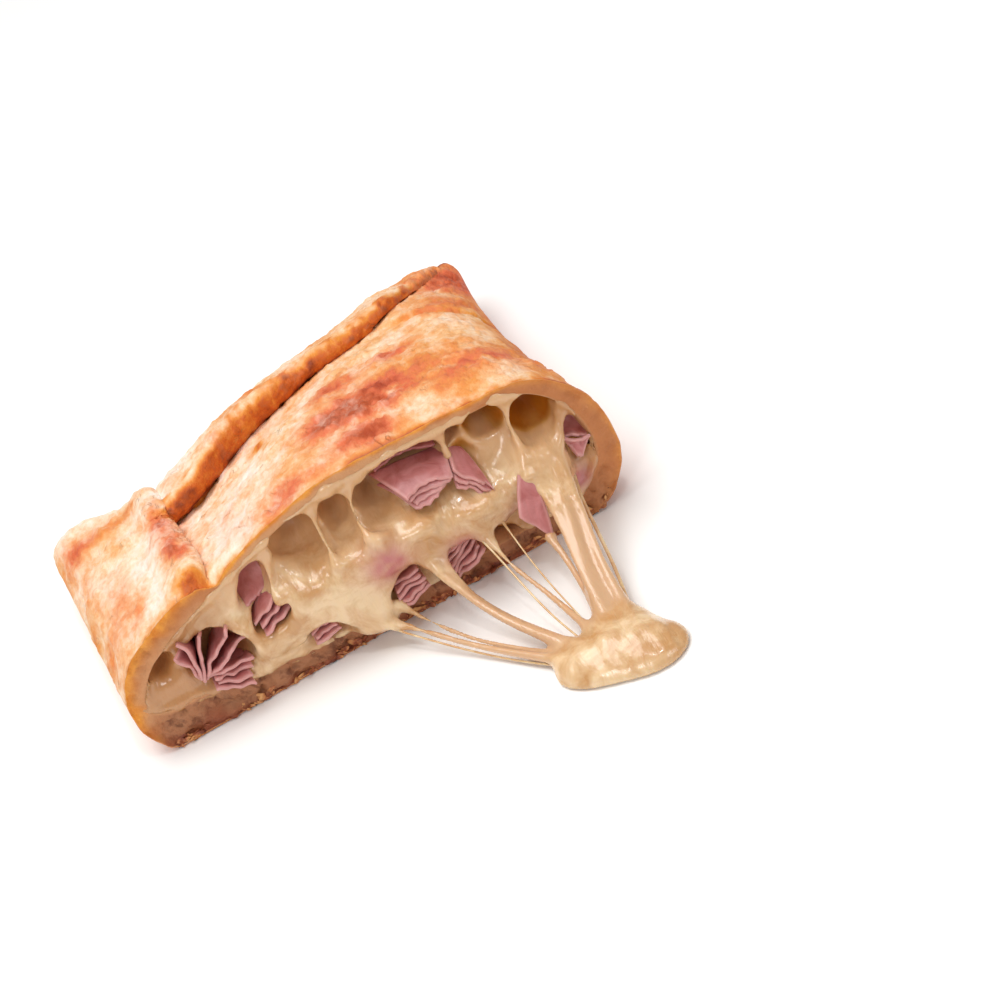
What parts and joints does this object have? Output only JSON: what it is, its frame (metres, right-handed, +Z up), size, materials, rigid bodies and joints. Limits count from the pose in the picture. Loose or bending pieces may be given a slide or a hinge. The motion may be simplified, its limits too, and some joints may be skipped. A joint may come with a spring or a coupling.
{
  "type": "empanada half",
  "caption": "Half of a baked folded empanada cut across, a domed dough crust round melted cheese and folded ham, with cheese strings from the cut.",
  "frame": {"origin": "on the flat base, midway along the cut and 30 mm behind it", "axes": "+Z up from the base, the cut faces -Y, +X along the cut from the folded flap towards the seamless edge"},
  "size_m": [0.1072, 0.1395, 0.036],
  "materials": {
    "crust": "baked wheat dough, matte, pale with browned blisters",
    "cheese": "melted mild cheese, glossy and slightly translucent",
    "ham": "cooked sliced ham, moist satin"
  },
  "bodies": {
    "root": {"crust": "crust", "cheese": "cheese", "ham_left_fan": "ham", "ham_left_roll": "ham", "ham_left_low": "ham", "ham_middle_fold": "ham", "ham_middle_side": "ham", "ham_low_left": "ham", "ham_low_middle": "ham", "ham_in_strand": "ham", "ham_right_end": "ham"}
  },
  "joints": []
}
